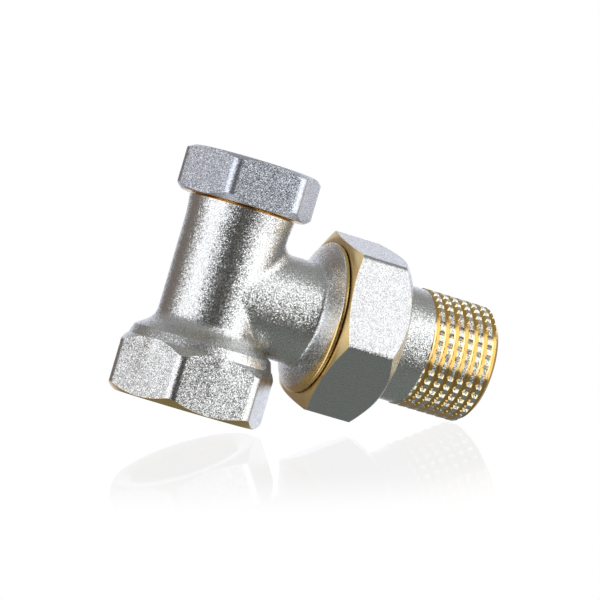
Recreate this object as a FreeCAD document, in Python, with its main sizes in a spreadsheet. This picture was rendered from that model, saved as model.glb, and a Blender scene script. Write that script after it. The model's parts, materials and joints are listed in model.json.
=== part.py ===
import FreeCAD, Part
import math
import os
import Sketcher

# An angled radiator return valve with its lockshield cap and union tail.
# Lengths are millimetres and angles are degrees.
# The origin is the centre of the inlet's bottom face: Z runs up the inlet, X along the outlet.

SIZES = {
    # the inlet and the seat, from the bottom up
    "inlet_radius": 9.32,
    "inlet_depth": 11.0,
    "mouth_flare": 0.8,
    "mouth_depth": 0.45,
    "inlet_cone": 2.2,
    "web_thickness": 1.2,
    "seat_radius": 4.6,
    "seat_rim": 0.9,
    "seat_rim_height": 0.6,
    "outlet_radius": 6.0,
    # the foot's hexagon and the collar that flares into the tube
    "foot_wall": 2.22,
    "foot_edge_radius": 2.0,
    "foot_face_inset": 0.2,
    "foot_bottom_rise": 1.45,
    "collar_drop": 1.0,
    "collar_proud": 0.1,
    "collar_lean": 0.55,
    "collar_height": 1.65,
    "shoulder_drop": 1.8,
    "flare_height": 2.2,
    "flare_radius": 3.0,
    # the tube with its lip
    "tube_wall": 1.4,
    "lip": 0.3,
    "lip_height": 3.2,
    "lip_flare": 12.0,
    "lip_chamfer": 0.2,
    # the neck and the union's flange and thread
    "neck_wall": 3.0,
    "neck_draft": 0.3,
    "neck_length": 6.9,
    "tee_fillet": 2.2,
    "crease_radius": 0.9,
    "soft_edge": 0.4,
    "flange_back": 1.7,
    "flange_rim": 0.55,
    "flange_proud": 0.1,
    "union_thread_radius": 13.0,
    "union_thread_length": 6.05,
    "union_relief": 1.8,
    "union_relief_depth": 1.3,
    "thread_chamfer": 0.6,
    # the pipe thread's groove, the same pitch and depth at the inlet, the union and the tail
    "thread_pitch": 1.814,
    "groove_depth": 0.76,
    "groove_root": 0.24,
    "groove_width": 1.05,
    "inlet_groove_width": 0.8,
    # the shutter disc, its seal, and what clamps the seal
    "lift": 3.0,
    "seal_lap": 0.6,
    "seal_thickness": 1.4,
    "seal_proud": 0.5,
    "seal_cup_wall": 0.4,
    "shutter_thickness": 2.2,
    "hub_wall": 0.9,
    "hub_height": 4.2,
    "hub_floor": 0.9,
    "hub_clearance": 2.3,
    "washer_radius": 2.8,
    "washer_thickness": 0.5,
    "screw_radius": 1.25,
    "screw_hole_cover": 0.4,
    "screw_head_radius": 1.9,
    "screw_head_height": 1.1,
    "screw_slot_width": 0.5,
    "screw_slot_depth": 0.5,
    # the threaded insert that carries the spindle
    "insert_thread_radius": 7.35,
    "insert_depth": 6.8,
    "nose_step": 0.45,
    "nose_length": 2.9,
    "insert_flange": 0.8,
    "insert_flange_step": 0.95,
    "insert_flange_depth": 1.0,
    "stub_wall": 1.3,
    "ring_land": 0.8,
    "wrench_slot_width": 1.6,
    "wrench_slot_depth": 0.7,
    "seal_bore_radius": 4.0,
    "seal_bore_length": 6.4,
    "drive_step": 0.6,
    # the spindle, drawn fully open
    "drive_length": 2.6,
    "hex_key_flats": 5.0,
    "hex_socket_depth": 4.0,
    "stem_radius": 2.2,
    "button_radius": 2.5,
    "button_height": 1.2,
    "button_neck_radius": 1.6,
    # the O-rings and their grooves
    "ring_cover": 0.7,
    "ring_spacing": 1.8,
    "groove_spare": 0.4,
    "insert_cord": 1.06,
    "spindle_cord": 1.0,
    "tail_cord": 1.24,
    # the sprung ring that stops the spindle
    "stop_ring_width": 1.15,
    "stop_ring_thickness": 0.5,
    "stop_ring_bite": 0.5,
    "stop_ring_gap": 2.4,
    # the cap and its gasket
    "cap_wall": 4.2,
    "cap_turn": -3.3,
    "cap_edge_radius": 1.9,
    "cap_gap": 0.2,
    "cap_top": 1.3,
    "cap_bottom_inset": 0.08,
    "cap_bottom_rise": 1.25,
    "cap_top_inset": 0.1,
    "cap_top_drop": 0.95,
    "gasket_hole_radius": 3.6,
    "gasket_thickness": 0.7,
    # the union nut
    "nut_wall": 1.02,
    "nut_turn": 11.8,
    "nut_edge_radius": 1.2,
    "nut_gap": 0.25,
    "nut_lip": 2.0,
    "nut_front_inset": 0.1,
    "nut_front_rise": 1.0,
    "nut_back_inset": 0.3,
    "nut_back_rise": 2.35,
    "nut_thread_clearance": 0.08,
    "nut_lip_clearance": 0.25,
    # the tail
    "tail_bore_radius": 7.4,
    "spigot_wall": 2.1,
    "spigot_length": 3.6,
    "tail_collar": 1.5,
    "tail_collar_step": 1.75,
    "tail_plain": 6.35,
    "tail_relief": 0.2,
    "tail_thread_radius": 10.25,
    "tail_thread_length": 12.35,
    "tail_end_chamfer": 0.9,
    "tail_end_drop": 0.85,
    "first_groove": 0.1,
    "notch_width": 0.95,
    "notch_depth": 0.45,
    "lug_width": 2.6,
    "lug_height": 1.0,
    "lug_length": 6.0,
    "lug_setback": 3.0,
    # clearances and small edges that many pieces share
    "fit": 0.05,
    "seal_ease": 0.02,
    "free": 0.1,
    "fine_chamfer": 0.3,
    "cut_past": 1.0,
}

NOTCH_COUNT = 36
LUG_COUNT = 2
FULL_TURN = 360
ROOT_3 = math.sqrt(3)
WITHIN = 1e-4
PAST_CREST = 0.25  # the share of a thread's depth by which its cutting section passes the crest


class Size:
    """A length with its number and the sheet expression that gives it."""

    def __init__(self, number, text):
        self.number = number
        self.text = text

    def __add__(self, other):
        other = as_size(other)
        return Size(self.number + other.number, f"({self.text} + {other.text})")

    def __sub__(self, other):
        other = as_size(other)
        return Size(self.number - other.number, f"({self.text} - {other.text})")

    def __mul__(self, other):
        other = as_size(other)
        return Size(self.number * other.number, f"({self.text} * {other.text})")

    def __truediv__(self, other):
        other = as_size(other)
        return Size(self.number / other.number, f"({self.text} / {other.text})")

    def __neg__(self):
        return Size(-self.number, f"(-1 * {self.text})")


def as_size(value):
    if isinstance(value, Size):
        return value
    return Size(float(value), repr(float(value)))


class Lengths:
    """Each driving dimension by its name, bound to the sheet's cell of that name."""

    def __init__(self, doc, sizes):
        self.sheet = doc.addObject("Spreadsheet::Sheet", "Sizes")
        for row, (name, number) in enumerate(sizes.items(), 1):
            self.sheet.set(f"A{row}", name)
            self.sheet.set(f"B{row}", str(number))
            self.sheet.setAlias(f"B{row}", name)
            setattr(self, name, Size(number, f"Sizes.{name}"))


doc = FreeCAD.newDocument("ReturnValve")
s = Lengths(doc, SIZES)
doc.recompute()


# Tools for sketches and features

def origin_part(body, role):
    return next(part for part in body.Origin.OriginFeatures if part.Role == role)


def new_body(label):
    body = doc.addObject("PartDesign::Body", label)
    body.Label = label
    return body


def rounded_corner(before, corner, after, radius):
    """Centre, start and end of the arc that rounds a corner, and whether it turns left."""
    inward = (corner - before).normalize()
    outward = (after - corner).normalize()
    turn = inward.x * outward.y - inward.y * outward.x
    half = math.acos(max(-1.0, min(1.0, inward.dot(outward)))) / 2
    reach = radius * math.tan(half)
    left = 1 if turn > 0 else -1
    start = corner - inward * reach
    centre = start + FreeCAD.Vector(-inward.y, inward.x, 0) * (radius * left)
    return centre, start, corner + outward * reach, left > 0


def hold(sketch, geometry, end, across, up):
    """Ties a point of a sketch to its two sizes."""
    for kind, axis, size in (("DistanceX", -2, across), ("DistanceY", -1, up)):
        if size.number == 0:
            sketch.addConstraint(Sketcher.Constraint("PointOnObject", geometry, end, axis))
            continue
        index = sketch.addConstraint(
            Sketcher.Constraint(kind, -1, 1, geometry, end, size.number))
        sketch.setExpression(f"Constraints[{index}]", size.text)


def outline(body, name, corners, plane="XZ_Plane", shift_y=None, shift_z=None):
    """A closed outline; a corner given a third value is rounded by that radius."""
    sketch = body.newObject("Sketcher::SketchObject", name)
    sketch.AttachmentSupport = (origin_part(body, plane), [""])
    sketch.MapMode = "FlatFace"
    if shift_y is not None:
        sketch.setExpression("AttachmentOffset.Base.y", shift_y.text)
    if shift_z is not None:
        sketch.setExpression("AttachmentOffset.Base.z", shift_z.text)
    corners = [tuple(as_size(value) for value in corner) for corner in corners]
    count = len(corners)
    spots = [FreeCAD.Vector(corner[0].number, corner[1].number, 0) for corner in corners]
    starts, ends, arcs = list(spots), list(spots), {}
    for i, corner in enumerate(corners):
        if len(corner) == 3:
            arcs[i] = rounded_corner(
                spots[i - 1], spots[i], spots[(i + 1) % count], corner[2].number)
            centre, ends[i], starts[i], left = arcs[i]
    for i in range(count):
        sketch.addGeometry(Part.LineSegment(starts[i], ends[(i + 1) % count]), False)
    for i, corner in enumerate(corners):
        before = (i - 1) % count
        if i not in arcs:
            sketch.addConstraint(Sketcher.Constraint("Coincident", before, 2, i, 1))
            hold(sketch, i, 1, corner[0], corner[1])
            continue
        centre, start, end, left = arcs[i]
        first, last = (start, end) if left else (end, start)
        angles = [math.atan2(spot.y - centre.y, spot.x - centre.x) for spot in (first, last)]
        circle = Part.Circle(centre, FreeCAD.Vector(0, 0, 1), corner[2].number)
        arc = sketch.addGeometry(Part.ArcOfCircle(circle, angles[0], angles[1]), False)
        point = sketch.addGeometry(Part.Point(spots[i]), True)
        start_end, end_end = (1, 2) if left else (2, 1)
        sketch.addConstraint([
            Sketcher.Constraint("Tangent", before, 2, arc, start_end),
            Sketcher.Constraint("Tangent", arc, end_end, i, 1),
            Sketcher.Constraint("PointOnObject", point, 1, before),
            Sketcher.Constraint("PointOnObject", point, 1, i),
        ])
        index = sketch.addConstraint(Sketcher.Constraint("Radius", arc, corner[2].number))
        sketch.setExpression(f"Constraints[{index}]", corner[2].text)
        hold(sketch, point, 1, corner[0], corner[1])
    return sketch


def settle(body, feature, before, cuts):
    """Recomputes, and stops if the feature neither adds nor removes what it should."""
    doc.recompute()
    change = body.Shape.Volume - before
    if (change >= -WITHIN) if cuts else (change <= WITHIN):
        raise ValueError(f"{feature.Name} changes the volume of {body.Label} by {change:.4f}")
    return feature


def volume_of(body):
    return 0.0 if body.Tip is None else body.Shape.Volume


def turned(body, name, corners, about="V_Axis", cuts=False, shift=None):
    """Turns an outline of radius and height about the body's axis, or cuts it away."""
    before = volume_of(body)
    sketch = outline(body, name + "Outline", corners, shift_y=shift)
    kind = "PartDesign::Groove" if cuts else "PartDesign::Revolution"
    feature = body.newObject(kind, name)
    feature.Profile = sketch
    feature.ReferenceAxis = (sketch, [about])
    feature.Angle = FULL_TURN
    return settle(body, feature, before, cuts)


def padded(body, name, corners, length, plane, start=None):
    before = volume_of(body)
    sketch = outline(body, name + "Outline", corners, plane, shift_z=start)
    feature = body.newObject("PartDesign::Pad", name)
    feature.Profile = sketch
    feature.setExpression("Length", length.text)
    return settle(body, feature, before, False)


def pocketed(body, name, corners, depth, plane, start, forward=False):
    """Cuts an outline away, down from its plane or, when forward, along the plane's normal."""
    before = volume_of(body)
    sketch = outline(body, name + "Outline", corners, plane, shift_z=start)
    feature = body.newObject("PartDesign::Pocket", name)
    feature.Profile = sketch
    feature.Reversed = forward
    feature.setExpression("Length", depth.text)
    return settle(body, feature, before, True)


def spread(body, name, feature, axis, count, cuts):
    """Repeats a feature evenly round one of the body's axes."""
    before = volume_of(body)
    pattern = body.newObject("PartDesign::PolarPattern", name)
    pattern.Originals = [feature]
    pattern.Axis = (origin_part(body, axis), [""])
    pattern.Angle = FULL_TURN
    pattern.Occurrences = count
    body.Tip = pattern
    return settle(body, pattern, before, cuts)


def filleted(body, name, wanted, radius):
    """Rounds each edge that the test picks."""
    names = [f"Edge{i}" for i, edge in enumerate(body.Shape.Edges, 1) if wanted(edge)]
    if not names:
        raise ValueError(f"{name} finds no edge on {body.Label}")
    base = body.Tip
    feature = body.newObject("PartDesign::Fillet", name)
    feature.Base = (base, names)
    feature.setExpression("Radius", radius.text)
    doc.recompute()
    return feature


def threaded(body, name, corners, height, about, shift=None):
    """Cuts a right-handed helical groove whose section is the outline."""
    before = volume_of(body)
    sketch = outline(body, name + "Outline", corners, shift_y=shift)
    doc.recompute()
    feature = body.newObject("PartDesign::SubtractiveHelix", name)
    feature.Profile = sketch
    feature.ReferenceAxis = (sketch, [about])
    feature.Mode = "pitch-height-angle"
    feature.setExpression("Pitch", s.thread_pitch.text)
    feature.setExpression("Height", height.text)
    return settle(body, feature, before, True)


def hexagon(flats):
    """Corners of a hexagon with two of them on the sketch's first axis."""
    reach = flats / ROOT_3
    half = flats / 2
    return [(reach, 0), (reach / 2, half), (-reach / 2, half),
            (-reach, 0), (-reach / 2, -half), (reach / 2, -half)]


def slot(width, length):
    """Corners of a straight slot through the centre."""
    return [(-length / 2, -width / 2), (length / 2, -width / 2),
            (length / 2, width / 2), (-length / 2, width / 2)]


def cone_cut(body, name, face_radius, face_at, corner_radius, corner_at, outside_at, **options):
    """Cuts the corners of a hexagon back to a cone that meets the flat end at face_radius."""
    slope = (corner_at - face_at) / (corner_radius - face_radius)
    far_radius = corner_radius + s.cut_past
    far_at = corner_at + slope * s.cut_past
    corners = [(face_radius, face_at), (far_radius, far_at),
               (far_radius, outside_at), (face_radius, outside_at)]
    if options.get("about") == "H_Axis":
        corners = [(at, radius) for radius, at in corners]
    return turned(body, name, corners, cuts=True, **options)


def runs_along(direction, beyond):
    """Picks straight edges along a direction that lie beyond a radius from that axis."""
    def wanted(edge):
        if not isinstance(edge.Curve, Part.Line):
            return False
        middle = edge.CenterOfMass
        off_axis = middle - direction * middle.dot(direction)
        return abs(abs(edge.Curve.Direction.dot(direction)) - 1) < WITHIN and off_axis.Length > beyond
    return wanted


UP = FreeCAD.Vector(0, 0, 1)
ALONG = FreeCAD.Vector(1, 0, 0)


# Radii that several pieces share

foot_flats = (s.inlet_radius + s.groove_depth + s.foot_wall) * 2
foot_corner = foot_flats / ROOT_3
collar_radius = foot_flats / 2 + s.collar_proud
nose_radius = s.insert_thread_radius - s.nose_step
insert_bore = s.insert_thread_radius + s.fit
insert_flange_radius = s.insert_thread_radius + s.insert_flange_step
tube_radius = insert_bore + s.tube_wall
lip_radius = tube_radius + s.lip
neck_radius = s.outlet_radius + s.neck_wall
flange_radius = s.union_thread_radius + s.flange_proud
seal_radius = s.seat_radius + s.seal_lap
shutter_radius = seal_radius + s.seal_cup_wall
drive_bore = s.seal_bore_radius + s.drive_step
stub_radius = drive_bore + s.stop_ring_bite + s.stub_wall
cap_bore = stub_radius + s.free
cap_flats = (cap_bore + s.cap_wall) * 2
nut_bore = s.union_thread_radius + s.nut_thread_clearance
nut_flats = (nut_bore + s.nut_wall) * 2
spigot_radius = s.tail_bore_radius + s.spigot_wall
spigot_bore = spigot_radius + s.free

# Heights, from the inlet up to the cap

collar_base = s.inlet_depth - s.collar_drop
chamber_floor = s.inlet_depth + s.inlet_cone + s.web_thickness
seat_top = chamber_floor + s.seat_rim_height
branch_height = seat_top + s.outlet_radius
seal_low = seat_top + s.lift + s.free
shutter_low = seal_low + s.seal_proud
shutter_top = shutter_low + s.shutter_thickness
hub_top = shutter_top + s.hub_height
socket_floor = shutter_top + s.hub_floor
screw_hole_top = socket_floor - s.screw_hole_cover
button_top = socket_floor + s.free + s.button_height
nose_bottom = hub_top + s.hub_clearance
nose_top = nose_bottom + s.nose_length
insert_seat = nose_bottom + s.insert_depth
insert_top = insert_seat + s.insert_flange
tube_top = insert_seat + s.insert_flange_depth
drive_floor = nose_bottom + s.seal_bore_length
drive_low = drive_floor + s.free + s.lift
drive_top = drive_low + s.drive_length
upper_ring = drive_floor - s.free - s.ring_cover
lower_ring = upper_ring - s.ring_spacing
smooth_low = lower_ring - s.ring_cover - s.groove_spare / 2
stop_floor = drive_top + s.free
stop_ceiling = stop_floor + s.stop_ring_thickness + s.free
stub_top = stop_ceiling + s.ring_land
cap_bottom = tube_top + s.cap_gap
cap_ceiling = stub_top + s.free + s.gasket_thickness
cap_end = cap_ceiling + s.cap_top

# Distances along the outlet, from the tube's axis to the tail's end

neck_end = tube_radius + s.neck_length
flange_start = neck_end + s.flange_back
flange_end = flange_start + s.flange_rim
thread_start = flange_end + s.union_relief
union_end = thread_start + s.union_thread_length
tail_seat = union_end + s.free
spigot_start = tail_seat - s.spigot_length
tail_ring_start = tail_seat - s.ring_cover * 2 - s.tail_cord
tail_ring_end = tail_ring_start + s.tail_cord + s.groove_spare
tail_collar_end = tail_seat + s.tail_collar
nut_start = flange_end + s.nut_gap
nut_lip_face = tail_collar_end + s.free
nut_end = nut_lip_face + s.nut_lip
tail_thread_start = nut_end + s.tail_plain
tail_end = tail_thread_start + s.tail_thread_length


# The forged and machined body

def thread_section(at, radius, width, outward):
    """The groove's section at a place along the thread, cut outward or inward from a radius."""
    sign = 1 if outward else -1
    top = width / 2 + (width - s.groove_root) / 2 * PAST_CREST
    root = radius + s.groove_depth * sign
    open_at = radius - s.groove_depth * PAST_CREST * sign
    return [(at - s.groove_root / 2, root), (at + s.groove_root / 2, root),
            (at + top, open_at), (at - top, open_at)]


def build_valve_body():
    body = new_body("valve_body")
    forge_outside(body)
    bore_inside(body)
    inlet_section = thread_section(-s.cut_past, s.inlet_radius, s.inlet_groove_width, True)
    threaded(body, "InletThread", [(radius, at) for at, radius in inlet_section],
             s.inlet_depth, "V_Axis")
    threaded(body, "UnionThread",
             thread_section(flange_end + s.union_relief / 2, s.union_thread_radius,
                            s.groove_width, False),
             s.union_thread_length + s.union_relief, "H_Axis", shift=branch_height)
    return body


def forge_outside(body):
    shoulder = collar_base - s.shoulder_drop
    crest = collar_base + s.collar_height
    turned(body, "Tube", [
        (0, shoulder),
        (tube_radius, shoulder),
        (tube_radius, tube_top - s.lip_height, s.lip_flare),
        (lip_radius, tube_top - s.lip_chamfer),
        (lip_radius - s.lip_chamfer, tube_top),
        (0, tube_top)])
    turned(body, "Neck", [
        (0, 0),
        (0, neck_radius - s.neck_draft),
        (neck_end, neck_radius, s.crease_radius),
        (flange_start, flange_radius, s.soft_edge),
        (flange_end, flange_radius),
        (flange_end, s.union_thread_radius - s.union_relief_depth),
        (thread_start - s.thread_chamfer, s.union_thread_radius - s.union_relief_depth),
        (thread_start, s.union_thread_radius),
        (union_end - s.thread_chamfer, s.union_thread_radius),
        (union_end, s.union_thread_radius - s.thread_chamfer),
        (union_end, 0)], about="H_Axis", shift=branch_height)
    filleted(body, "TeeFillet",
             lambda edge: isinstance(edge.Curve, Part.BSplineCurve), s.tee_fillet)
    padded(body, "Foot", hexagon(foot_flats), collar_base, "XY_Plane")
    filleted(body, "FootEdges", runs_along(UP, foot_flats.number / 2), s.foot_edge_radius)
    cone_cut(body, "FootBottomCone", foot_flats / 2 - s.foot_face_inset, as_size(0), foot_corner,
             s.foot_bottom_rise, -s.cut_past)
    cone_cut(body, "FootTopCone", collar_radius, collar_base, foot_corner, shoulder,
             collar_base + s.cut_past)
    turned(body, "Collar", [
        (0, shoulder),
        (collar_radius, shoulder),
        (collar_radius, collar_base, s.soft_edge),
        (collar_radius - s.collar_lean, crest, s.soft_edge),
        (tube_radius, crest + s.flare_height, s.flare_radius),
        (tube_radius, branch_height),
        (0, branch_height)])


def bore_inside(body):
    mouth_slope = s.mouth_flare / s.mouth_depth
    turned(body, "UprightBores", [
        (0, -s.cut_past),
        (s.inlet_radius + (s.mouth_depth + s.cut_past) * mouth_slope, -s.cut_past),
        (s.inlet_radius, s.mouth_depth),
        (s.inlet_radius, s.inlet_depth),
        (s.seat_radius, s.inlet_depth + s.inlet_cone),
        (s.seat_radius, seat_top),
        (s.seat_radius + s.seat_rim, seat_top),
        (s.seat_radius + s.seat_rim, chamber_floor),
        (nose_radius - s.fine_chamfer, chamber_floor),
        (nose_radius - s.fine_chamfer, nose_bottom),
        (nose_radius + s.fit, nose_bottom + s.fine_chamfer),
        (nose_radius + s.fit, nose_top),
        (insert_bore, nose_top + s.fine_chamfer),
        (insert_bore, insert_seat),
        (insert_flange_radius + s.free, insert_seat),
        (insert_flange_radius + s.free, tube_top + s.cut_past),
        (0, tube_top + s.cut_past)], cuts=True)
    turned(body, "OutletBores", [
        (s.seat_radius + s.seat_rim, 0),
        (s.seat_radius + s.seat_rim, s.outlet_radius),
        (spigot_start - s.free, s.outlet_radius),
        (spigot_start - s.free, spigot_bore),
        (union_end - s.fine_chamfer, spigot_bore),
        (union_end + s.cut_past, spigot_bore + s.fine_chamfer + s.cut_past),
        (union_end + s.cut_past, 0)], about="H_Axis", cuts=True, shift=branch_height)


# The insert, the spindle and what seals and stops it

def build_headwork():
    body = new_body("headwork")
    groove_low = nose_bottom + s.ring_cover
    groove_high = groove_low + s.insert_cord + s.groove_spare
    groove_floor = nose_radius + s.fit - s.insert_cord
    turned(body, "Outside", [
        (0, nose_bottom),
        (nose_radius - s.fine_chamfer, nose_bottom),
        (nose_radius, nose_bottom + s.fine_chamfer),
        (nose_radius, groove_low),
        (groove_floor, groove_low),
        (groove_floor, groove_high),
        (nose_radius, groove_high),
        (nose_radius, nose_top + s.fine_chamfer),
        (s.insert_thread_radius, nose_top + s.fine_chamfer * 2),
        (s.insert_thread_radius, insert_seat),
        (insert_flange_radius, insert_seat),
        (insert_flange_radius, insert_top),
        (stub_radius, insert_top),
        (stub_radius, stub_top - s.fine_chamfer),
        (stub_radius - s.fine_chamfer, stub_top),
        (0, stub_top)])
    turned(body, "Inside", [
        (0, nose_bottom - s.cut_past),
        (s.seal_bore_radius, nose_bottom - s.cut_past),
        (s.seal_bore_radius, drive_floor - s.free),
        (drive_bore, drive_floor),
        (drive_bore, stop_floor),
        (drive_bore + s.stop_ring_bite, stop_floor),
        (drive_bore + s.stop_ring_bite, stop_ceiling),
        (drive_bore, stop_ceiling),
        (drive_bore, stub_top + s.cut_past),
        (0, stub_top + s.cut_past)], cuts=True)
    pocketed(body, "WrenchSlot", slot(s.wrench_slot_width, stub_radius * 2 + s.cut_past),
             s.wrench_slot_depth, "XY_Plane", stub_top)
    return body


def o_ring(label, centre_radius, cord, height):
    """A round ring about the upright axis, its middle plane at a height."""
    ring = doc.addObject("Part::Torus", label)
    ring.Label = label
    ring.setExpression("Radius1", centre_radius.text)
    ring.setExpression("Radius2", (cord / 2 - s.seal_ease).text)
    ring.setExpression("Placement.Base.z", height.text)
    return ring


def build_headwork_o_ring():
    return o_ring("headwork_o_ring", nose_radius + s.fit - s.insert_cord / 2, s.insert_cord,
                  nose_bottom + s.ring_cover + (s.insert_cord + s.groove_spare) / 2)


def ring_groove(at):
    """Corners of a spindle O-ring groove, from above to below."""
    half = (s.spindle_cord + s.groove_spare / 2) / 2
    floor = s.seal_bore_radius - s.spindle_cord
    outside = s.seal_bore_radius - s.fit
    return [(outside, at + half), (floor, at + half), (floor, at - half), (outside, at - half)]


def build_lock_spindle():
    body = new_body("lock_spindle")
    outside = drive_bore - s.free
    smooth = s.seal_bore_radius - s.fit
    neck_top = hub_top + s.free * 2
    turned(body, "Outside", [
        (0, drive_top),
        (outside - s.fine_chamfer, drive_top),
        (outside, drive_top - s.fine_chamfer),
        (outside, drive_low),
        (smooth, drive_low),
        *ring_groove(upper_ring),
        *ring_groove(lower_ring),
        (smooth, smooth_low),
        (s.stem_radius, smooth_low),
        (s.stem_radius, neck_top),
        (s.button_neck_radius, neck_top),
        (s.button_neck_radius, button_top),
        (s.button_radius, button_top),
        (s.button_radius, socket_floor + s.free),
        (0, socket_floor + s.free)])
    pocketed(body, "KeySocket", hexagon(s.hex_key_flats), s.hex_socket_depth,
             "XY_Plane", drive_top)
    return body


def build_spindle_o_rings():
    radius = s.seal_bore_radius - s.spindle_cord / 2
    return [o_ring("spindle_o_ring_upper", radius, s.spindle_cord, upper_ring),
            o_ring("spindle_o_ring_lower", radius, s.spindle_cord, lower_ring)]


def build_retaining_ring():
    body = new_body("spindle_retaining_ring")
    low = stop_floor + s.free / 2
    outside = drive_bore + s.stop_ring_bite - s.fit
    turned(body, "Ring", [
        (outside - s.stop_ring_width, low),
        (outside, low),
        (outside, low + s.stop_ring_thickness),
        (outside - s.stop_ring_width, low + s.stop_ring_thickness)])
    half_gap = s.stop_ring_gap / 2
    pocketed(body, "RingGap",
             [(0, -half_gap), (outside + s.cut_past, -half_gap),
              (outside + s.cut_past, half_gap), (0, half_gap)],
             s.stop_ring_thickness + s.cut_past, "XY_Plane", low + s.stop_ring_thickness)
    return body


# The shutter with its clamped seal

def build_shutter_disc():
    body = new_body("shutter_disc")
    hub_radius = s.button_radius + s.free + s.hub_wall
    recess = seal_low + s.seal_thickness
    turned(body, "Outside", [
        (0, shutter_low),
        (shutter_radius, shutter_low),
        (shutter_radius, shutter_top - s.fine_chamfer),
        (shutter_radius - s.fine_chamfer, shutter_top),
        (hub_radius, shutter_top),
        (hub_radius, hub_top - s.fine_chamfer),
        (hub_radius - s.fine_chamfer, hub_top),
        (0, hub_top)])
    turned(body, "ButtonSocket", [
        (0, socket_floor),
        (s.button_radius + s.free, socket_floor),
        (s.button_radius + s.free, button_top + s.free),
        (s.button_neck_radius + s.free, button_top + s.free),
        (s.button_neck_radius + s.free, hub_top + s.cut_past),
        (0, hub_top + s.cut_past)], cuts=True)
    turned(body, "SealRecess", [
        (0, shutter_low - s.cut_past),
        (seal_radius, shutter_low - s.cut_past),
        (seal_radius, recess),
        (s.screw_radius, recess),
        (s.screw_radius, screw_hole_top),
        (0, screw_hole_top)], cuts=True)
    return body


def build_shutter_seal():
    body = new_body("shutter_seal")
    hole = s.screw_radius + s.free
    turned(body, "Seal", [
        (hole, seal_low),
        (seal_radius - s.seal_ease, seal_low),
        (seal_radius - s.seal_ease, seal_low + s.seal_thickness),
        (hole, seal_low + s.seal_thickness)])
    return body


def build_seal_washer():
    body = new_body("seal_washer")
    hole = s.screw_radius + s.fit
    turned(body, "Washer", [
        (hole, seal_low - s.washer_thickness),
        (s.washer_radius, seal_low - s.washer_thickness),
        (s.washer_radius, seal_low),
        (hole, seal_low)])
    return body


def build_seal_screw():
    body = new_body("seal_screw")
    under_head = seal_low - s.washer_thickness
    low = under_head - s.screw_head_height
    shank = s.screw_radius - s.seal_ease
    turned(body, "Screw", [
        (0, low),
        (s.screw_head_radius - s.fine_chamfer, low),
        (s.screw_head_radius, low + s.fine_chamfer),
        (s.screw_head_radius, under_head),
        (shank, under_head),
        (shank, screw_hole_top - s.fit),
        (0, screw_hole_top - s.fit)])
    pocketed(body, "DriverSlot", slot(s.screw_slot_width, s.screw_head_radius * 2 + s.cut_past),
             s.screw_slot_depth, "XY_Plane", low, forward=True)
    return body


# The cap and its gasket

def build_cap():
    body = new_body("cap")
    corner = cap_flats / ROOT_3
    padded(body, "Blank", hexagon(cap_flats), cap_end - cap_bottom, "XY_Plane", cap_bottom)
    filleted(body, "Edges", runs_along(UP, cap_flats.number / 2), s.cap_edge_radius)
    cone_cut(body, "BottomCone", cap_flats / 2 - s.cap_bottom_inset, cap_bottom, corner,
             cap_bottom + s.cap_bottom_rise, cap_bottom - s.cut_past)
    cone_cut(body, "TopCone", cap_flats / 2 - s.cap_top_inset, cap_end, corner,
             cap_end - s.cap_top_drop, cap_end + s.cut_past)
    turned(body, "Bore", [
        (0, cap_bottom - s.cut_past),
        (cap_bore + s.fine_chamfer + s.cut_past, cap_bottom - s.cut_past),
        (cap_bore, cap_bottom + s.fine_chamfer),
        (cap_bore, cap_ceiling),
        (0, cap_ceiling)], cuts=True)
    body.setExpression("Placement.Rotation.Angle", s.cap_turn.text)
    return body


def build_cap_gasket():
    body = new_body("cap_gasket")
    low = cap_ceiling - s.gasket_thickness
    turned(body, "Gasket", [
        (s.gasket_hole_radius, low),
        (stub_radius - s.free, low),
        (stub_radius - s.free, cap_ceiling),
        (s.gasket_hole_radius, cap_ceiling)])
    return body


# The union: nut, tail and the tail's seal, drawn about the X axis and lifted to the branch

def build_union_nut():
    body = new_body("union_nut")
    corner = nut_flats / ROOT_3
    lip_bore = s.tail_thread_radius + s.nut_lip_clearance
    padded(body, "Blank", hexagon(nut_flats), nut_end - nut_start, "YZ_Plane", nut_start)
    filleted(body, "Edges", runs_along(ALONG, nut_flats.number / 2), s.nut_edge_radius)
    cone_cut(body, "FrontCone", nut_flats / 2 - s.nut_front_inset, nut_start, corner,
             nut_start + s.nut_front_rise, nut_start - s.cut_past, about="H_Axis")
    cone_cut(body, "BackCone", nut_flats / 2 - s.nut_back_inset, nut_end, corner,
             nut_end - s.nut_back_rise, nut_end + s.cut_past, about="H_Axis")
    turned(body, "Bore", [
        (nut_start - s.cut_past, 0),
        (nut_start - s.cut_past, nut_bore),
        (nut_lip_face, nut_bore),
        (nut_lip_face, lip_bore),
        (nut_end - s.fine_chamfer, lip_bore),
        (nut_end + s.cut_past, lip_bore + s.fine_chamfer + s.cut_past),
        (nut_end + s.cut_past, 0)], about="H_Axis", cuts=True)
    body.Placement = FreeCAD.Placement(FreeCAD.Vector(), FreeCAD.Rotation(ALONG, s.nut_turn.number))
    body.setExpression("Placement.Base.z", branch_height.text)
    body.setExpression("Placement.Rotation.Angle", s.nut_turn.text)
    return body


def build_tailpiece():
    body = new_body("tailpiece")
    turn_tail(body)
    cut_tail_thread(body)
    add_key_lugs(body)
    body.setExpression("Placement.Base.z", branch_height.text)
    return body


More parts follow.
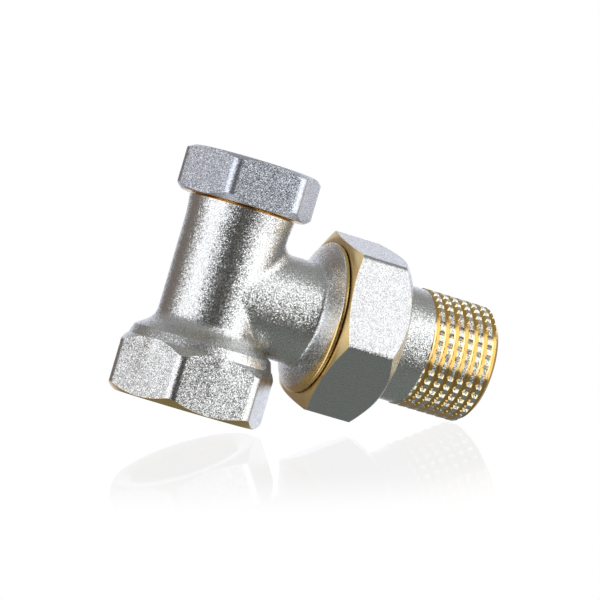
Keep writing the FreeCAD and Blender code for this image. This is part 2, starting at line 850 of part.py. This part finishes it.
def turn_tail(body):
    ring_floor = spigot_bore - s.tail_cord
    collar = s.tail_thread_radius + s.tail_collar_step
    plain = s.tail_thread_radius - s.tail_relief
    turned(body, "Outside", [
        (spigot_start, 0),
        (spigot_start, spigot_radius - s.fine_chamfer),
        (spigot_start + s.fine_chamfer, spigot_radius),
        (tail_ring_start, spigot_radius),
        (tail_ring_start, ring_floor),
        (tail_ring_end, ring_floor),
        (tail_ring_end, spigot_radius),
        (tail_seat, spigot_radius),
        (tail_seat, collar),
        (tail_collar_end, collar),
        (tail_collar_end, plain),
        (tail_thread_start, plain),
        (tail_thread_start, s.tail_thread_radius),
        (tail_end - s.tail_end_chamfer, s.tail_thread_radius),
        (tail_end, s.tail_thread_radius - s.tail_end_drop),
        (tail_end, 0)], about="H_Axis")
    turned(body, "Bore", [
        (spigot_start - s.cut_past, 0),
        (spigot_start - s.cut_past, s.tail_bore_radius),
        (tail_end - s.fine_chamfer, s.tail_bore_radius),
        (tail_end + s.cut_past, s.tail_bore_radius + s.fine_chamfer + s.cut_past),
        (tail_end + s.cut_past, 0)], about="H_Axis", cuts=True)


def cut_tail_thread(body):
    """Cuts the crests into rows of teeth that grip the sealing hemp, then cuts the thread."""
    notch = [(-s.notch_width / 2, s.tail_thread_radius + s.fit),
             (0, s.tail_thread_radius - s.notch_depth),
             (s.notch_width / 2, s.tail_thread_radius + s.fit)]
    reach = s.tail_thread_length + s.cut_past
    first_notch = pocketed(body, "Notch", notch, reach, "YZ_Plane", tail_thread_start - s.fit,
                           forward=True)
    spread(body, "Notches", first_notch, "X_Axis", NOTCH_COUNT, True)
    section = thread_section(tail_thread_start + s.first_groove, s.tail_thread_radius,
                             s.groove_width, False)
    threaded(body, "Thread", section, reach, "H_Axis")


def add_key_lugs(body):
    """The lugs inside the bore by which a flat key turns the tail."""
    inner = s.tail_bore_radius - s.lug_height
    outer = s.tail_bore_radius + s.spigot_wall / 2
    half = s.lug_width / 2
    lug = padded(body, "Lug", [(-half, inner), (half, inner), (half, outer), (-half, outer)],
                 s.lug_length, "YZ_Plane", tail_end - s.lug_setback - s.lug_length)
    spread(body, "Lugs", lug, "X_Axis", LUG_COUNT, False)


def build_tailpiece_o_ring():
    ring = o_ring("tailpiece_o_ring", spigot_bore - s.tail_cord / 2, s.tail_cord, branch_height)
    ring.Placement = FreeCAD.Placement(
        FreeCAD.Vector(), FreeCAD.Rotation(FreeCAD.Vector(0, 1, 0), FULL_TURN / 4))
    ring.setExpression("Placement.Base.x", ((tail_ring_start + tail_ring_end) / 2).text)
    return ring


pieces = [
    build_valve_body(),
    build_headwork(),
    build_headwork_o_ring(),
    build_lock_spindle(),
    *build_spindle_o_rings(),
    build_retaining_ring(),
    build_shutter_disc(),
    build_shutter_seal(),
    build_seal_washer(),
    build_seal_screw(),
    build_cap(),
    build_cap_gasket(),
    build_union_nut(),
    build_tailpiece(),
    build_tailpiece_o_ring(),
]
doc.recompute()

failed = [part.Name for part in doc.Objects if {"Invalid", "Error"} & set(part.State)]
if failed:
    raise ValueError(f"these did not compute: {failed}")
for piece in pieces:
    if piece.Shape.isNull() or not piece.Shape.isValid() or len(piece.Shape.Solids) != 1:
        raise ValueError(f"{piece.Label} is not one sound solid")

os.makedirs("parts", exist_ok=True)
for piece in pieces:
    piece.Shape.exportStep(f"parts/{piece.Label}.step")
    print(f"{piece.Label}: {piece.Shape.Volume:.1f} cubic millimetres")
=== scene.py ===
import json
import math

import bmesh
import bpy
from mathutils import Matrix, Vector


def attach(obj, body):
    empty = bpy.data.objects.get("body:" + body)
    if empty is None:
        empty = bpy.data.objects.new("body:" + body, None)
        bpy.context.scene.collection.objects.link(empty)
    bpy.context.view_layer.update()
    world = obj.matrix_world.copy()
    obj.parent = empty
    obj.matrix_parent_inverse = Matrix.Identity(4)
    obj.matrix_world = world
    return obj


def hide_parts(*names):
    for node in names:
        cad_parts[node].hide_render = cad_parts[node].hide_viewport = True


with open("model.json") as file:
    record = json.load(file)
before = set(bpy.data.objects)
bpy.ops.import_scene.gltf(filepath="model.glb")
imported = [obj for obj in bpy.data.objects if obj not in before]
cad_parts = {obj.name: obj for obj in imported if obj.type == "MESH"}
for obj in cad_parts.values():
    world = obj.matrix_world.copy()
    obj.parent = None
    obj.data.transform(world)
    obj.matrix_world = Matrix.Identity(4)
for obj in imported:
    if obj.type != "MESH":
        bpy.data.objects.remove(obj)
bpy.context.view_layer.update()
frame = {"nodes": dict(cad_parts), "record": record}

# An angled radiator return valve: blasted nickel plate over brass, bare brass where it was machined
# after plating. Places and sizes are in millimetres as on the solids, and MM turns them to metres.

MM = 0.001

BRANCH = 21.0            # height of the outlet's axis
PITCH = 1.814            # of the union's and the tail's threads
SKIN = 0.04              # masks reach this far past the flat ends, so that rounding leaves no gaps

FOOT_FACE = 12.1         # radius where the foot's bottom chamfer starts
FOOT_CORNER = 14.203     # radius of the sharp hexagon's corner
FOOT_RISE = 1.45         # height of that chamfer at the sharp corner
INLET_INSIDE = 10.4      # anything nearer the upright axis is machined, up to the inlet's end
INLET_END = 11.4
TUBE_INSIDE = 8.5        # the same inside the tube
TUBE_LIP = 34.88         # where the plating ends at the tube's top
NECK_INSIDE = 8.2        # anything nearer the outlet's axis is machined, beyond the tube

FLANGE_RIM = 17.42       # the flange's rim and thread are bare from here on
FLANGE_BACK = 15.9       # the flange's sloping face starts here
FLANGE_FOOT = 10.8       # that face is outside this radius, and brass shows faintly through its plate
THIN_PLATE = 0.2
SKIM_ACROSS = 1.72       # the tool that turned the rim bit deeper at its lower front: place and
SKIM_UP = 2.2            # radius of the circle that the cut follows on the face
SKIM_RADIUS = 14.7

NUT_START = 18.2
NUT_FACE = 14.0          # radius where the nut's front chamfer starts
NUT_CORNER = 16.281      # radius of the sharp nut's corner
NUT_RISE = 1.0
NUT_INSIDE = 13.99
NUT_BACK = 27.45         # the threaded bore is bare up to here
NUT_LIP_INSIDE = 11.0

CAP_BOTTOM = 35.36       # the cap's bottom face is bare below this height
CAP_INSIDE = 9.0
CAP_CEILING = 41.75

TAIL_BARE = 35.8         # the tail's thread starts here
TAIL_GROOVE = 35.95      # where the thread's first groove crosses the top of the tail
TAIL_GROOVE_WIDTH = 1.24
TAIL_INSIDE = 7.9
TAIL_TURNED_END = 47.3   # the tail's free end is turned bare from here on
SPIGOT_END = 25.9


# Colours and nodes

def linear(code):
    """The linear colour of an sRGB hex value."""
    parts = [int(code[i:i + 2], 16) / 255 for i in (1, 3, 5)]
    return tuple(c / 12.92 if c <= 0.04045 else ((c + 0.055) / 1.055) ** 2.4 for c in parts) + (1.0,)


def add(tree, kind, *inputs, named=None, **settings):
    """Adds a node with its settings; sockets, nodes and values fill its live inputs in order."""
    node = tree.nodes.new(kind)
    for key, value in settings.items():
        setattr(node, key, value)
    live = [socket for socket in node.inputs if socket.enabled]
    pairs = list(zip(live, inputs)) + [(node.inputs[key], value) for key, value in (named or {}).items()]
    for socket, value in pairs:
        if isinstance(value, bpy.types.Node):
            value = next(out for out in value.outputs if out.enabled)
        if isinstance(value, bpy.types.NodeSocket):
            tree.links.new(value, socket)
        elif value is not None:
            socket.default_value = value
    return node


def new_material(name):
    material = bpy.data.materials.new(name)
    material.use_nodes = True
    material.node_tree.nodes.clear()
    return material, material.node_tree


def per_mm(size):
    """The scale at which a pattern's cells are this many millimetres wide."""
    return 1 / (size * MM)


class Places:
    """Where a point of a surface is on the valve, in millimetres, as sockets of one material."""

    def __init__(self, tree):
        self.tree = tree
        self.point = add(tree, "ShaderNodeTexCoord").outputs["Object"]
        scaled = add(tree, "ShaderNodeVectorMath", self.point, (1 / MM,) * 3, operation="MULTIPLY")
        parts = add(tree, "ShaderNodeSeparateXYZ", scaled)
        self.along, across, self.height = parts.outputs
        self.up = add(tree, "ShaderNodeMath", self.height, BRANCH, operation="SUBTRACT")
        self.ahead = add(tree, "ShaderNodeMath", across, -1.0, operation="MULTIPLY")
        upright = add(tree, "ShaderNodeCombineXYZ", self.along, across, 0.0)
        lying = add(tree, "ShaderNodeCombineXYZ", 0.0, across, self.up)
        skim = (0.0, SKIM_ACROSS, SKIM_UP)
        self.from_tube = add(tree, "ShaderNodeVectorMath", upright, operation="LENGTH").outputs["Value"]
        self.from_outlet = add(tree, "ShaderNodeVectorMath", lying, operation="LENGTH").outputs["Value"]
        self.from_skim = add(tree, "ShaderNodeVectorMath", lying, skim, operation="DISTANCE").outputs["Value"]

    def above(self, place, limit):
        return add(self.tree, "ShaderNodeMath", place, limit, operation="GREATER_THAN")

    def below(self, place, limit):
        return add(self.tree, "ShaderNodeMath", place, limit, operation="LESS_THAN")

    def both(self, first, second):
        return add(self.tree, "ShaderNodeMath", first, second, operation="MULTIPLY")

    def any_of(self, *masks):
        whole = masks[0]
        for mask in masks[1:]:
            whole = add(self.tree, "ShaderNodeMath", whole, mask, operation="MAXIMUM")
        return whole

    def in_groove(self, start, pitch, width):
        """Is a point in the right-handed groove that crosses the outlet's top at start?"""
        turn = add(self.tree, "ShaderNodeMath", self.ahead, self.up, operation="ARCTAN2")
        lead = add(self.tree, "ShaderNodeMath", turn, -pitch / math.tau, self.along, operation="MULTIPLY_ADD")
        wave = add(self.tree, "ShaderNodeMath", lead, start, operation="SUBTRACT")
        offset = add(self.tree, "ShaderNodeMath", wave, pitch / 2, operation="PINGPONG")
        return self.below(offset, width / 2)

    def under_cone(self, place, radius, start, face, slope):
        """Is a point on the chamfer whose cone leaves the flat end at the radius face?"""
        rise = add(self.tree, "ShaderNodeMath", radius, face, operation="SUBTRACT")
        limit = add(self.tree, "ShaderNodeMath", rise, slope, start + SKIN, operation="MULTIPLY_ADD")
        return self.below(place, limit)


# Finishes that take up the whole of a piece

def grit(tree, point, size, strength, depth):
    """Grains of a size in millimetres, as a bump of a depth in millimetres."""
    noise = add(tree, "ShaderNodeTexNoise", named={
        "Vector": point, "Scale": per_mm(size), "Detail": 1.5, "Roughness": 0.6})
    bump = add(tree, "ShaderNodeBump", named={
        "Height": noise, "Strength": strength, "Distance": depth * MM})
    return noise, bump


def grained(name, grain, strength, depth, dark, light, **shader):
    """A material that wavers between two tones over its grains, with the shader's own values."""
    material, tree = new_material(name)
    point = add(tree, "ShaderNodeTexCoord").outputs["Object"]
    grains, bump = grit(tree, point, grain, strength, depth)
    tone = add(tree, "ShaderNodeMix", grains, linear(dark), linear(light), data_type="RGBA")
    skin = add(tree, "ShaderNodeBsdfPrincipled", named={"Base Color": tone, "Normal": bump, **shader})
    add(tree, "ShaderNodeOutputMaterial", skin)
    return material


def nitrile_rubber():
    """Moulded black nitrile: dull, with the faint dusty bloom that seals carry."""
    return grained("moulded_nitrile_rubber", grain=0.5, strength=0.2, depth=0.03,
                   dark="#141414", light="#2b2a28", Roughness=0.55)


def white_gasket():
    """Skived white fluoropolymer: waxy, slightly mottled."""
    return grained("skived_fluoropolymer", grain=0.8, strength=0.15, depth=0.03,
                   dark="#d8d6cf", light="#efede7", Roughness=0.45)


def spring_steel():
    """Drawn spring wire, bright with faint draw marks."""
    return grained("drawn_spring_steel", grain=0.3, strength=0.1, depth=0.03,
                   dark="#8e9092", light="#b9bbbd", Roughness=0.28, Metallic=1.0)


# Brass, and nickel plate with brass where the plate was turned away

BRASS_TONES = ("#dab474", "#f2d69a")
BRASS_WEAR = (0.22, 0.34)     # roughness, from the smoothest tool marks to the roughest
BRASS_PATCH = 3.0
TOOL_MARK = 0.22
GRAIN = 0.12                  # a blasted grain's width
SWELL = 1.9                   # width and depth of the forging's slow waves
SWELL_DEPTH = 0.06
DIE_SMOOTH = 8.0              # below this height the forging's skin is smoother than above the next one
DIE_COARSE = 11.0


def brass_surface(tree, point, tones=BRASS_TONES, wear=BRASS_WEAR):
    """Turned brass: warm, smooth, with fine tool marks and slightly darker patches."""
    patches = add(tree, "ShaderNodeTexNoise", named={
        "Vector": point, "Scale": per_mm(BRASS_PATCH), "Detail": 3.0})
    tone = add(tree, "ShaderNodeMix", patches, *map(linear, tones), data_type="RGBA")
    marks, bump = grit(tree, point, TOOL_MARK, strength=0.12, depth=0.05)
    worn = add(tree, "ShaderNodeMapRange", marks, 0.3, 0.7, *wear)
    return add(tree, "ShaderNodeBsdfPrincipled", named={
        "Base Color": tone, "Metallic": 1.0, "Roughness": worn, "Normal": bump})


def turned_brass():
    material, tree = new_material("turned_brass")
    point = add(tree, "ShaderNodeTexCoord").outputs["Object"]
    add(tree, "ShaderNodeOutputMaterial", brass_surface(tree, point))
    return material


def facets(tree, point, tilt):
    """Grains, each a tiny flat face that leans its own way.

    Returns a random value for each grain, and its normal.
    """
    cells = add(tree, "ShaderNodeTexVoronoi", named={"Vector": point, "Scale": per_mm(GRAIN)})
    lean = add(tree, "ShaderNodeVectorMath", cells.outputs["Color"], (0.5, 0.5, 0.5), operation="SUBTRACT")
    chance = add(tree, "ShaderNodeTexWhiteNoise", cells.outputs["Position"]).outputs["Value"]
    normal = add(tree, "ShaderNodeNewGeometry").outputs["Normal"]
    bent = add(tree, "ShaderNodeVectorMath", lean, tilt, normal, operation="MULTIPLY_ADD")
    return chance, add(tree, "ShaderNodeVectorMath", bent, operation="NORMALIZE")


def plated(name, bare_at, tilt=(0.19, 0.34), smooth=0.1, rough=0.42,
           dark="#bbbbba", light="#e9eaea", tones=BRASS_TONES, wear=BRASS_WEAR):
    """Forging blasted with fine grit, then nickel plated: a skin of bright and dark specks.

    Every grain has its own polish, tone and lean, which is less low down, where the die was smoother.
    The darker grains' tone is partly the plate's own random tone and partly painted shade of the hollows
    between grains.
    Where bare_at says so, the plate was turned away and the brass shines through.
    """
    material, tree = new_material(name)
    places = Places(tree)
    bare = bare_at(places)
    lean = add(tree, "ShaderNodeMapRange", places.height, DIE_SMOOTH, DIE_COARSE, *tilt)
    chance, leaning = facets(tree, places.point, lean)
    swell = add(tree, "ShaderNodeTexNoise", named={"Vector": places.point, "Scale": per_mm(SWELL)})
    waves = add(tree, "ShaderNodeBump", named={
        "Height": swell, "Strength": 0.35, "Distance": SWELL_DEPTH * MM, "Normal": leaning})
    # Each grain's tone: partly the plate's own random tone, partly painted shade of the hollows between
    # grains
    nickel = add(tree, "ShaderNodeMix", chance, linear(dark), linear(light), data_type="RGBA")
    polish = add(tree, "ShaderNodeMapRange", chance, 0.0, 1.0, rough, smooth)
    shell = add(tree, "ShaderNodeBsdfPrincipled", named={
        "Base Color": nickel, "Metallic": 1.0, "Roughness": polish, "Normal": waves})
    whole = add(tree, "ShaderNodeMixShader", bare, shell, brass_surface(tree, places.point, tones, wear))
    add(tree, "ShaderNodeOutputMaterial", whole)
    return material


def bare_on_body(at):
    chamfer = at.under_cone(at.height, at.from_tube, 0, FOOT_FACE, FOOT_RISE / (FOOT_CORNER - FOOT_FACE))
    inlet = at.both(at.below(at.from_tube, INLET_INSIDE), at.below(at.height, INLET_END))
    rim = at.above(at.height, TUBE_LIP)
    inside = at.below(at.from_tube, TUBE_INSIDE)
    passage = at.both(at.below(at.from_outlet, NECK_INSIDE), at.above(at.along, 0.0))
    thread = at.above(at.along, FLANGE_RIM)
    skimmed = at.both(at.above(at.from_skim, SKIM_RADIUS), at.above(at.along, FLANGE_BACK))
    sloping = at.both(at.above(at.from_outlet, FLANGE_FOOT), at.above(at.along, FLANGE_BACK))
    faint = at.both(sloping, THIN_PLATE)
    return at.any_of(chamfer, inlet, rim, inside, passage, thread, skimmed, faint)


def bare_on_cap(at):
    inside = at.both(at.below(at.from_tube, CAP_INSIDE), at.below(at.height, CAP_CEILING))
    face = at.below(at.height, CAP_BOTTOM)
    return at.any_of(inside, face)


def bare_on_nut(at):
    chamfer = at.under_cone(at.along, at.from_outlet, NUT_START, NUT_FACE, NUT_RISE / (NUT_CORNER - NUT_FACE))
    bore = at.both(at.below(at.from_outlet, NUT_INSIDE), at.below(at.along, NUT_BACK))
    lip = at.below(at.from_outlet, NUT_LIP_INSIDE)
    return at.any_of(chamfer, bore, lip)


def bare_on_tail(at):
    groove = at.both(at.in_groove(TAIL_GROOVE, PITCH, TAIL_GROOVE_WIDTH), at.above(at.along, TAIL_BARE))
    inside = at.below(at.from_outlet, TAIL_INSIDE)
    end = at.above(at.along, TAIL_TURNED_END)
    spigot = at.below(at.along, SPIGOT_END)
    return at.any_of(groove, inside, end, spigot)


# The pieces

SHARP = math.radians(32)
MERGED = 1e-7            # metres between corners that are one
bodies = {node: body for body, nodes in frame["record"]["behaviour"]["bodies"].items() for node in nodes}
dressed = []


def dress(node, material):
    """A merged copy of a solid, shaded round where it is round, which stands for it."""
    mesh = bpy.data.meshes.new(f"{node}_surface")
    shape = bmesh.new()
    shape.from_mesh(frame["nodes"][node].data)
    bmesh.ops.remove_doubles(shape, verts=shape.verts, dist=MERGED)
    for face in shape.faces:
        face.smooth = True
        face.material_index = 0
    for edge in shape.edges:
        edge.smooth = len(edge.link_faces) == 2 and edge.calc_face_angle(math.pi) < SHARP
    shape.to_mesh(mesh)
    shape.free()
    if "custom_normal" in mesh.attributes:
        mesh.attributes.remove(mesh.attributes["custom_normal"])
    mesh.materials.append(material)
    piece = bpy.data.objects.new(f"{node}_surface", mesh)
    bpy.context.scene.collection.objects.link(piece)
    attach(piece, bodies[node])
    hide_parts(node)
    dressed.append(piece)


brass = turned_brass()
rubber = nitrile_rubber()
# The plated pieces' dark grain tones are partly painted shade of the hollows between grains
dress("valve_body", plated("blasted_nickel_on_forging", bare_on_body))
dress("cap", plated("satin_nickel_on_cap", bare_on_cap, tilt=(0.24, 0.24), smooth=0.25,
                    dark="#b5bac4", light="#e0e4ec"))
dress("union_nut", plated("blasted_nickel_on_nut", bare_on_nut, tilt=(0.2, 0.2),
                          dark="#b7b7b7", light="#d6d6d7",
                          tones=("#e2c284", "#f7e0aa"), wear=(0.3, 0.4)))
dress("tailpiece", plated("blasted_nickel_on_tail", bare_on_tail, tilt=(0.3, 0.3),
                          tones=("#e2c690", "#f4dfae"), wear=(0.08, 0.14)))
for name in ("headwork", "lock_spindle", "shutter_disc", "seal_washer", "seal_screw"):
    dress(name, brass)
for name in ("headwork_o_ring", "spindle_o_ring_upper", "spindle_o_ring_lower", "shutter_seal",
             "tailpiece_o_ring"):
    dress(name, rubber)
dress("cap_gasket", white_gasket())
dress("spindle_retaining_ring", spring_steel())


# The nut's inside thread, one ridge that winds along the bore in step with the body's groove

RIDGE_START = 18.85      # where the body's groove crosses the top of the union thread
RIDGE_STEPS = 96         # around one turn
RIDGE = {"Radius": 13.1 * MM, "Pitch": PITCH * MM, "Turns": 4.0, "Depth": 0.7 * MM,
         "Root Width": 0.85 * MM, "Crest Width": 0.2 * MM}


def inside_thread():
    """A node group that sweeps a thread's section along a right-handed helix."""
    group = bpy.data.node_groups.new("inside_thread", "GeometryNodeTree")
    for label in RIDGE:
        group.interface.new_socket(label, in_out="INPUT", socket_type="NodeSocketFloat")
    group.interface.new_socket("Material", in_out="INPUT", socket_type="NodeSocketMaterial")
    group.interface.new_socket("Geometry", in_out="OUTPUT", socket_type="NodeSocketGeometry")
    given = add(group, "NodeGroupInput").outputs
    rise = add(group, "ShaderNodeMath", given["Turns"], given["Pitch"], operation="MULTIPLY")
    centre = add(group, "ShaderNodeMath", given["Depth"], 0.5, given["Radius"], operation="MULTIPLY_ADD")
    middle = add(group, "ShaderNodeMath", centre, given["Depth"], operation="SUBTRACT")
    helix = add(group, "GeometryNodeCurveSpiral", named={
        "Resolution": RIDGE_STEPS, "Rotations": given["Turns"], "Start Radius": middle,
        "End Radius": middle, "Height": rise, "Reverse": True})
    upright = add(group, "GeometryNodeSetCurveNormal", helix, mode="Z_UP")
    section = add(group, "GeometryNodeCurvePrimitiveQuadrilateral", named={
        "Bottom Width": given["Crest Width"], "Top Width": given["Root Width"], "Offset": 0.0,
        "Height": given["Depth"]}, mode="TRAPEZOID")
    facing = add(group, "GeometryNodeTransform", section, named={"Rotation": (0.0, 0.0, math.pi / 2)})
    ridge = add(group, "GeometryNodeCurveToMesh", named={
        "Curve": upright, "Profile Curve": facing, "Fill Caps": True})
    whole = add(group, "GeometryNodeRealizeInstances", ridge)
    dressed_ridge = add(group, "GeometryNodeSetMaterial", named={
        "Geometry": whole, "Material": given["Material"]})
    add(group, "NodeGroupOutput", dressed_ridge)
    return group


def wind_thread(name, sizes, material, place):
    """The node group's mesh for these sizes, set in place as a plain piece."""
    group = inside_thread()
    source = bpy.data.objects.new(f"{name}_source", bpy.data.meshes.new(f"{name}_source"))
    bpy.context.scene.collection.objects.link(source)
    modifier = source.modifiers.new("thread", "NODES")
    modifier.node_group = group
    for item in group.interface.items_tree:
        if item.in_out == "INPUT":
            modifier[item.identifier] = material if item.name == "Material" else sizes[item.name]
    bpy.context.view_layer.update()
    mesh = bpy.data.meshes.new_from_object(source.evaluated_get(bpy.context.evaluated_depsgraph_get()))
    bpy.data.objects.remove(source)
    shape = bmesh.new()
    shape.from_mesh(mesh)
    bmesh.ops.transform(shape, matrix=place, verts=shape.verts)
    bmesh.ops.remove_doubles(shape, verts=shape.verts, dist=MERGED)
    bmesh.ops.recalc_face_normals(shape, faces=shape.faces)
    shape.to_mesh(mesh)
    shape.free()
    piece = bpy.data.objects.new(name, mesh)
    bpy.context.scene.collection.objects.link(piece)
    return piece


# The helix winds about its own Z from its X, and these become the outlet's axis and straight up
start = Vector((RIDGE_START, 0.0, BRANCH)) * MM
onto_outlet = Matrix(((0.0, 0.0, 1.0), (0.0, -1.0, 0.0), (1.0, 0.0, 0.0))).to_4x4()
ridge = wind_thread("union_nut_thread", RIDGE, brass, Matrix.Translation(start) @ onto_outlet)
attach(ridge, "nut")


# The camera stands where the photograph was taken from, rolled as the valve leans in it

CAMERA_YAW = -20.74
CAMERA_RISE = -1.26
CAMERA_ROLL = 16.36
CAMERA_AWAY = 584.92
CAMERA_ASIDE = -13.615
CAMERA_DOWN = -1.891
LENS = 210.0
SENSOR = 36.0


def camera_axes():
    """The picture's right, its down and the way into it."""
    yaw, rise, roll = (math.radians(v) for v in (CAMERA_YAW, CAMERA_RISE, CAMERA_ROLL))
    into = -Vector((math.sin(yaw) * math.cos(rise), -math.cos(yaw) * math.cos(rise), math.sin(rise)))
    right = Vector((math.cos(yaw), math.sin(yaw), 0.0))
    down = -right.cross(into)
    return (right * math.cos(roll) - down * math.sin(roll),
            right * math.sin(roll) + down * math.cos(roll), into)


right, down, into = camera_axes()
centre = Vector((0, 0, BRANCH)) * MM
camera = bpy.data.objects.new("Camera", bpy.data.cameras.new("Camera"))
camera.data.lens = LENS
camera.data.sensor_width = SENSOR
camera.data.clip_start = 0.01
camera.data.clip_end = 20.0
stand = centre - (right * CAMERA_ASIDE + down * CAMERA_DOWN + into * CAMERA_AWAY) * MM
facing = Matrix((right, -down, -into)).transposed()
camera.matrix_world = Matrix.Translation(stand) @ facing.to_4x4()
bpy.context.scene.collection.objects.link(camera)
bpy.context.scene.camera = camera


# A white studio: soft panels at both sides and behind, dark between them

# Each panel's four angles to the side and four up, in degrees as the camera sees the valve, then
# its colour and its strength
PANELS = (
    ((-401, -400, 400, 401), (20, 50, 90, 91), "#f4f6f4", 0.4),
    ((-88, -76, -28, -18), (-70, -50, 24, 48), "#fbfcff", 1.65),
    ((38, 44, 88, 134), (-32, -26, 36, 44), "#fdfeff", 1.83),
    ((142, 160, 400, 401), (-26, -8, 14, 45), "#eef2ff", 1.32),
    ((-401, -400, -168, -140), (-26, -8, 14, 45), "#eef2ff", 1.32),
)
WALL_LEFT = "#7f756e"
WALL_RIGHT = "#a59a88"
GROUND = "#7b807b"
ROOM_AHEAD = "#44423f"
WHITE = (1.0, 1.0, 1.0, 1.0)
PALE_GREY = "#dfe1e4"


def soft_step(tree, value, start, end, before=0.0, after=1.0):
    """A value that goes smoothly from before to after between two places."""
    return add(tree, "ShaderNodeMapRange", value, start, end, before, after,
               interpolation_type="SMOOTHSTEP")


def soft_span(tree, angle, start, full, fading, end):
    """How far an angle in degrees is inside a span that rises and fades softly at its ends."""
    rising = soft_step(tree, angle, math.radians(start), math.radians(full))
    falling = soft_step(tree, angle, math.radians(fading), math.radians(end), 1.0, 0.0)
    return add(tree, "ShaderNodeMath", rising, falling, operation="MULTIPLY")


world = bpy.data.worlds.new("Studio")
world.use_nodes = True
tree = world.node_tree
tree.nodes.clear()
look = add(tree, "ShaderNodeTexCoord").outputs["Generated"]
aside = add(tree, "ShaderNodeVectorMath", look, tuple(right), operation="DOT_PRODUCT").outputs["Value"]
rise = add(tree, "ShaderNodeVectorMath", look, tuple(-down), operation="DOT_PRODUCT").outputs["Value"]
front = add(tree, "ShaderNodeVectorMath", look, tuple(-into), operation="DOT_PRODUCT").outputs["Value"]
turn = add(tree, "ShaderNodeMath", aside, front, operation="ARCTAN2")
height = add(tree, "ShaderNodeMath", rise, operation="ARCSINE")

below = soft_step(tree, rise, -0.8, -0.3, 1.0, 0.0)
beside = soft_step(tree, aside, -0.3, 0.3)
walls = add(tree, "ShaderNodeMix", beside, linear(WALL_LEFT), linear(WALL_RIGHT), data_type="RGBA")
room = add(tree, "ShaderNodeMix", below, walls, linear(GROUND), data_type="RGBA")
before = soft_step(tree, front, 0.3, 0.9)
room = add(tree, "ShaderNodeMix", before, room, linear(ROOM_AHEAD), data_type="RGBA")
for across, up, colour, strength in PANELS:
    mask = add(tree, "ShaderNodeMath", soft_span(tree, turn, *across), soft_span(tree, height, *up),
               operation="MULTIPLY")
    glow = tuple(strength * c for c in linear(colour))
    room = add(tree, "ShaderNodeMix", mask, room, glow, data_type="RGBA")

# The backdrop is white as in the photograph, and pale grey on the other sides, where bright metal
# would be lost against white
around = soft_step(tree, front, -0.97, -0.85)
backdrop = add(tree, "ShaderNodeMix", around, WHITE, linear(PALE_GREY), data_type="RGBA")
seen = add(tree, "ShaderNodeLightPath").outputs["Is Camera Ray"]
shown = add(tree, "ShaderNodeMix", seen, room, backdrop, data_type="RGBA")
add(tree, "ShaderNodeOutputWorld", add(tree, "ShaderNodeBackground", shown, 1.0))
bpy.context.scene.world = world


# The sheet of clear acrylic that the valve lies on, level in the picture as in the photograph

SHEET_REACH = 0.09       # metres from its middle to its sides
SHEET_DROP = 0.0001      # metres that it lies below the valve
SHEET_SHINE = "#f8f9fd"
SHINE_SHARE = 0.13       # how much of what is seen in it is its reflection
HAZE = 6.0
CAMERA_ABOVE = 5.7       # degrees from the sheet up to the camera


def clear_acrylic():
    """Clear acrylic on a white ground: nothing shows in it but a faint reflection, lost further out."""
    material, tree = new_material("clear_acrylic_sheet")
    point = add(tree, "ShaderNodeTexCoord").outputs["Object"]
    far = add(tree, "ShaderNodeVectorMath", point, operation="LENGTH").outputs["Value"]
    haze = add(tree, "ShaderNodeTexNoise", named={"Vector": point, "Scale": per_mm(HAZE)})
    polish = add(tree, "ShaderNodeMapRange", haze, 0.3, 0.7, 0.02, 0.05)
    shine = add(tree, "ShaderNodeBsdfAnisotropic", linear(SHEET_SHINE), polish)
    clear = add(tree, "ShaderNodeBsdfTransparent", WHITE)
    share = soft_step(tree, far, 0.5 * SHEET_REACH, SHEET_REACH, SHINE_SHARE, 0.0)
    add(tree, "ShaderNodeOutputMaterial", add(tree, "ShaderNodeMixShader", share, clear, shine))
    return material


tilt = math.radians(CAMERA_ABOVE)
level = -down * math.cos(tilt) - into * math.sin(tilt)
lowest = min(level.dot(vertex.co) for piece in dressed for vertex in piece.data.vertices)
middle = centre - level * (level.dot(centre) - lowest + SHEET_DROP)
sheet = bpy.data.meshes.new("Sheet")
corners = [(-1, -1), (1, -1), (1, 1), (-1, 1)]
sheet.from_pydata([(SHEET_REACH * x, SHEET_REACH * y, 0.0) for x, y in corners], [], [(0, 1, 2, 3)])
sheet.materials.append(clear_acrylic())
floor = bpy.data.objects.new("Sheet", sheet)
axes = Matrix((right, level.cross(right), level)).transposed()
floor.matrix_world = Matrix.Translation(middle) @ axes.to_4x4()
floor.visible_glossy = False
floor.visible_diffuse = False
floor.visible_shadow = False
bpy.context.scene.collection.objects.link(floor)

bpy.context.scene.view_settings.view_transform = "Standard"
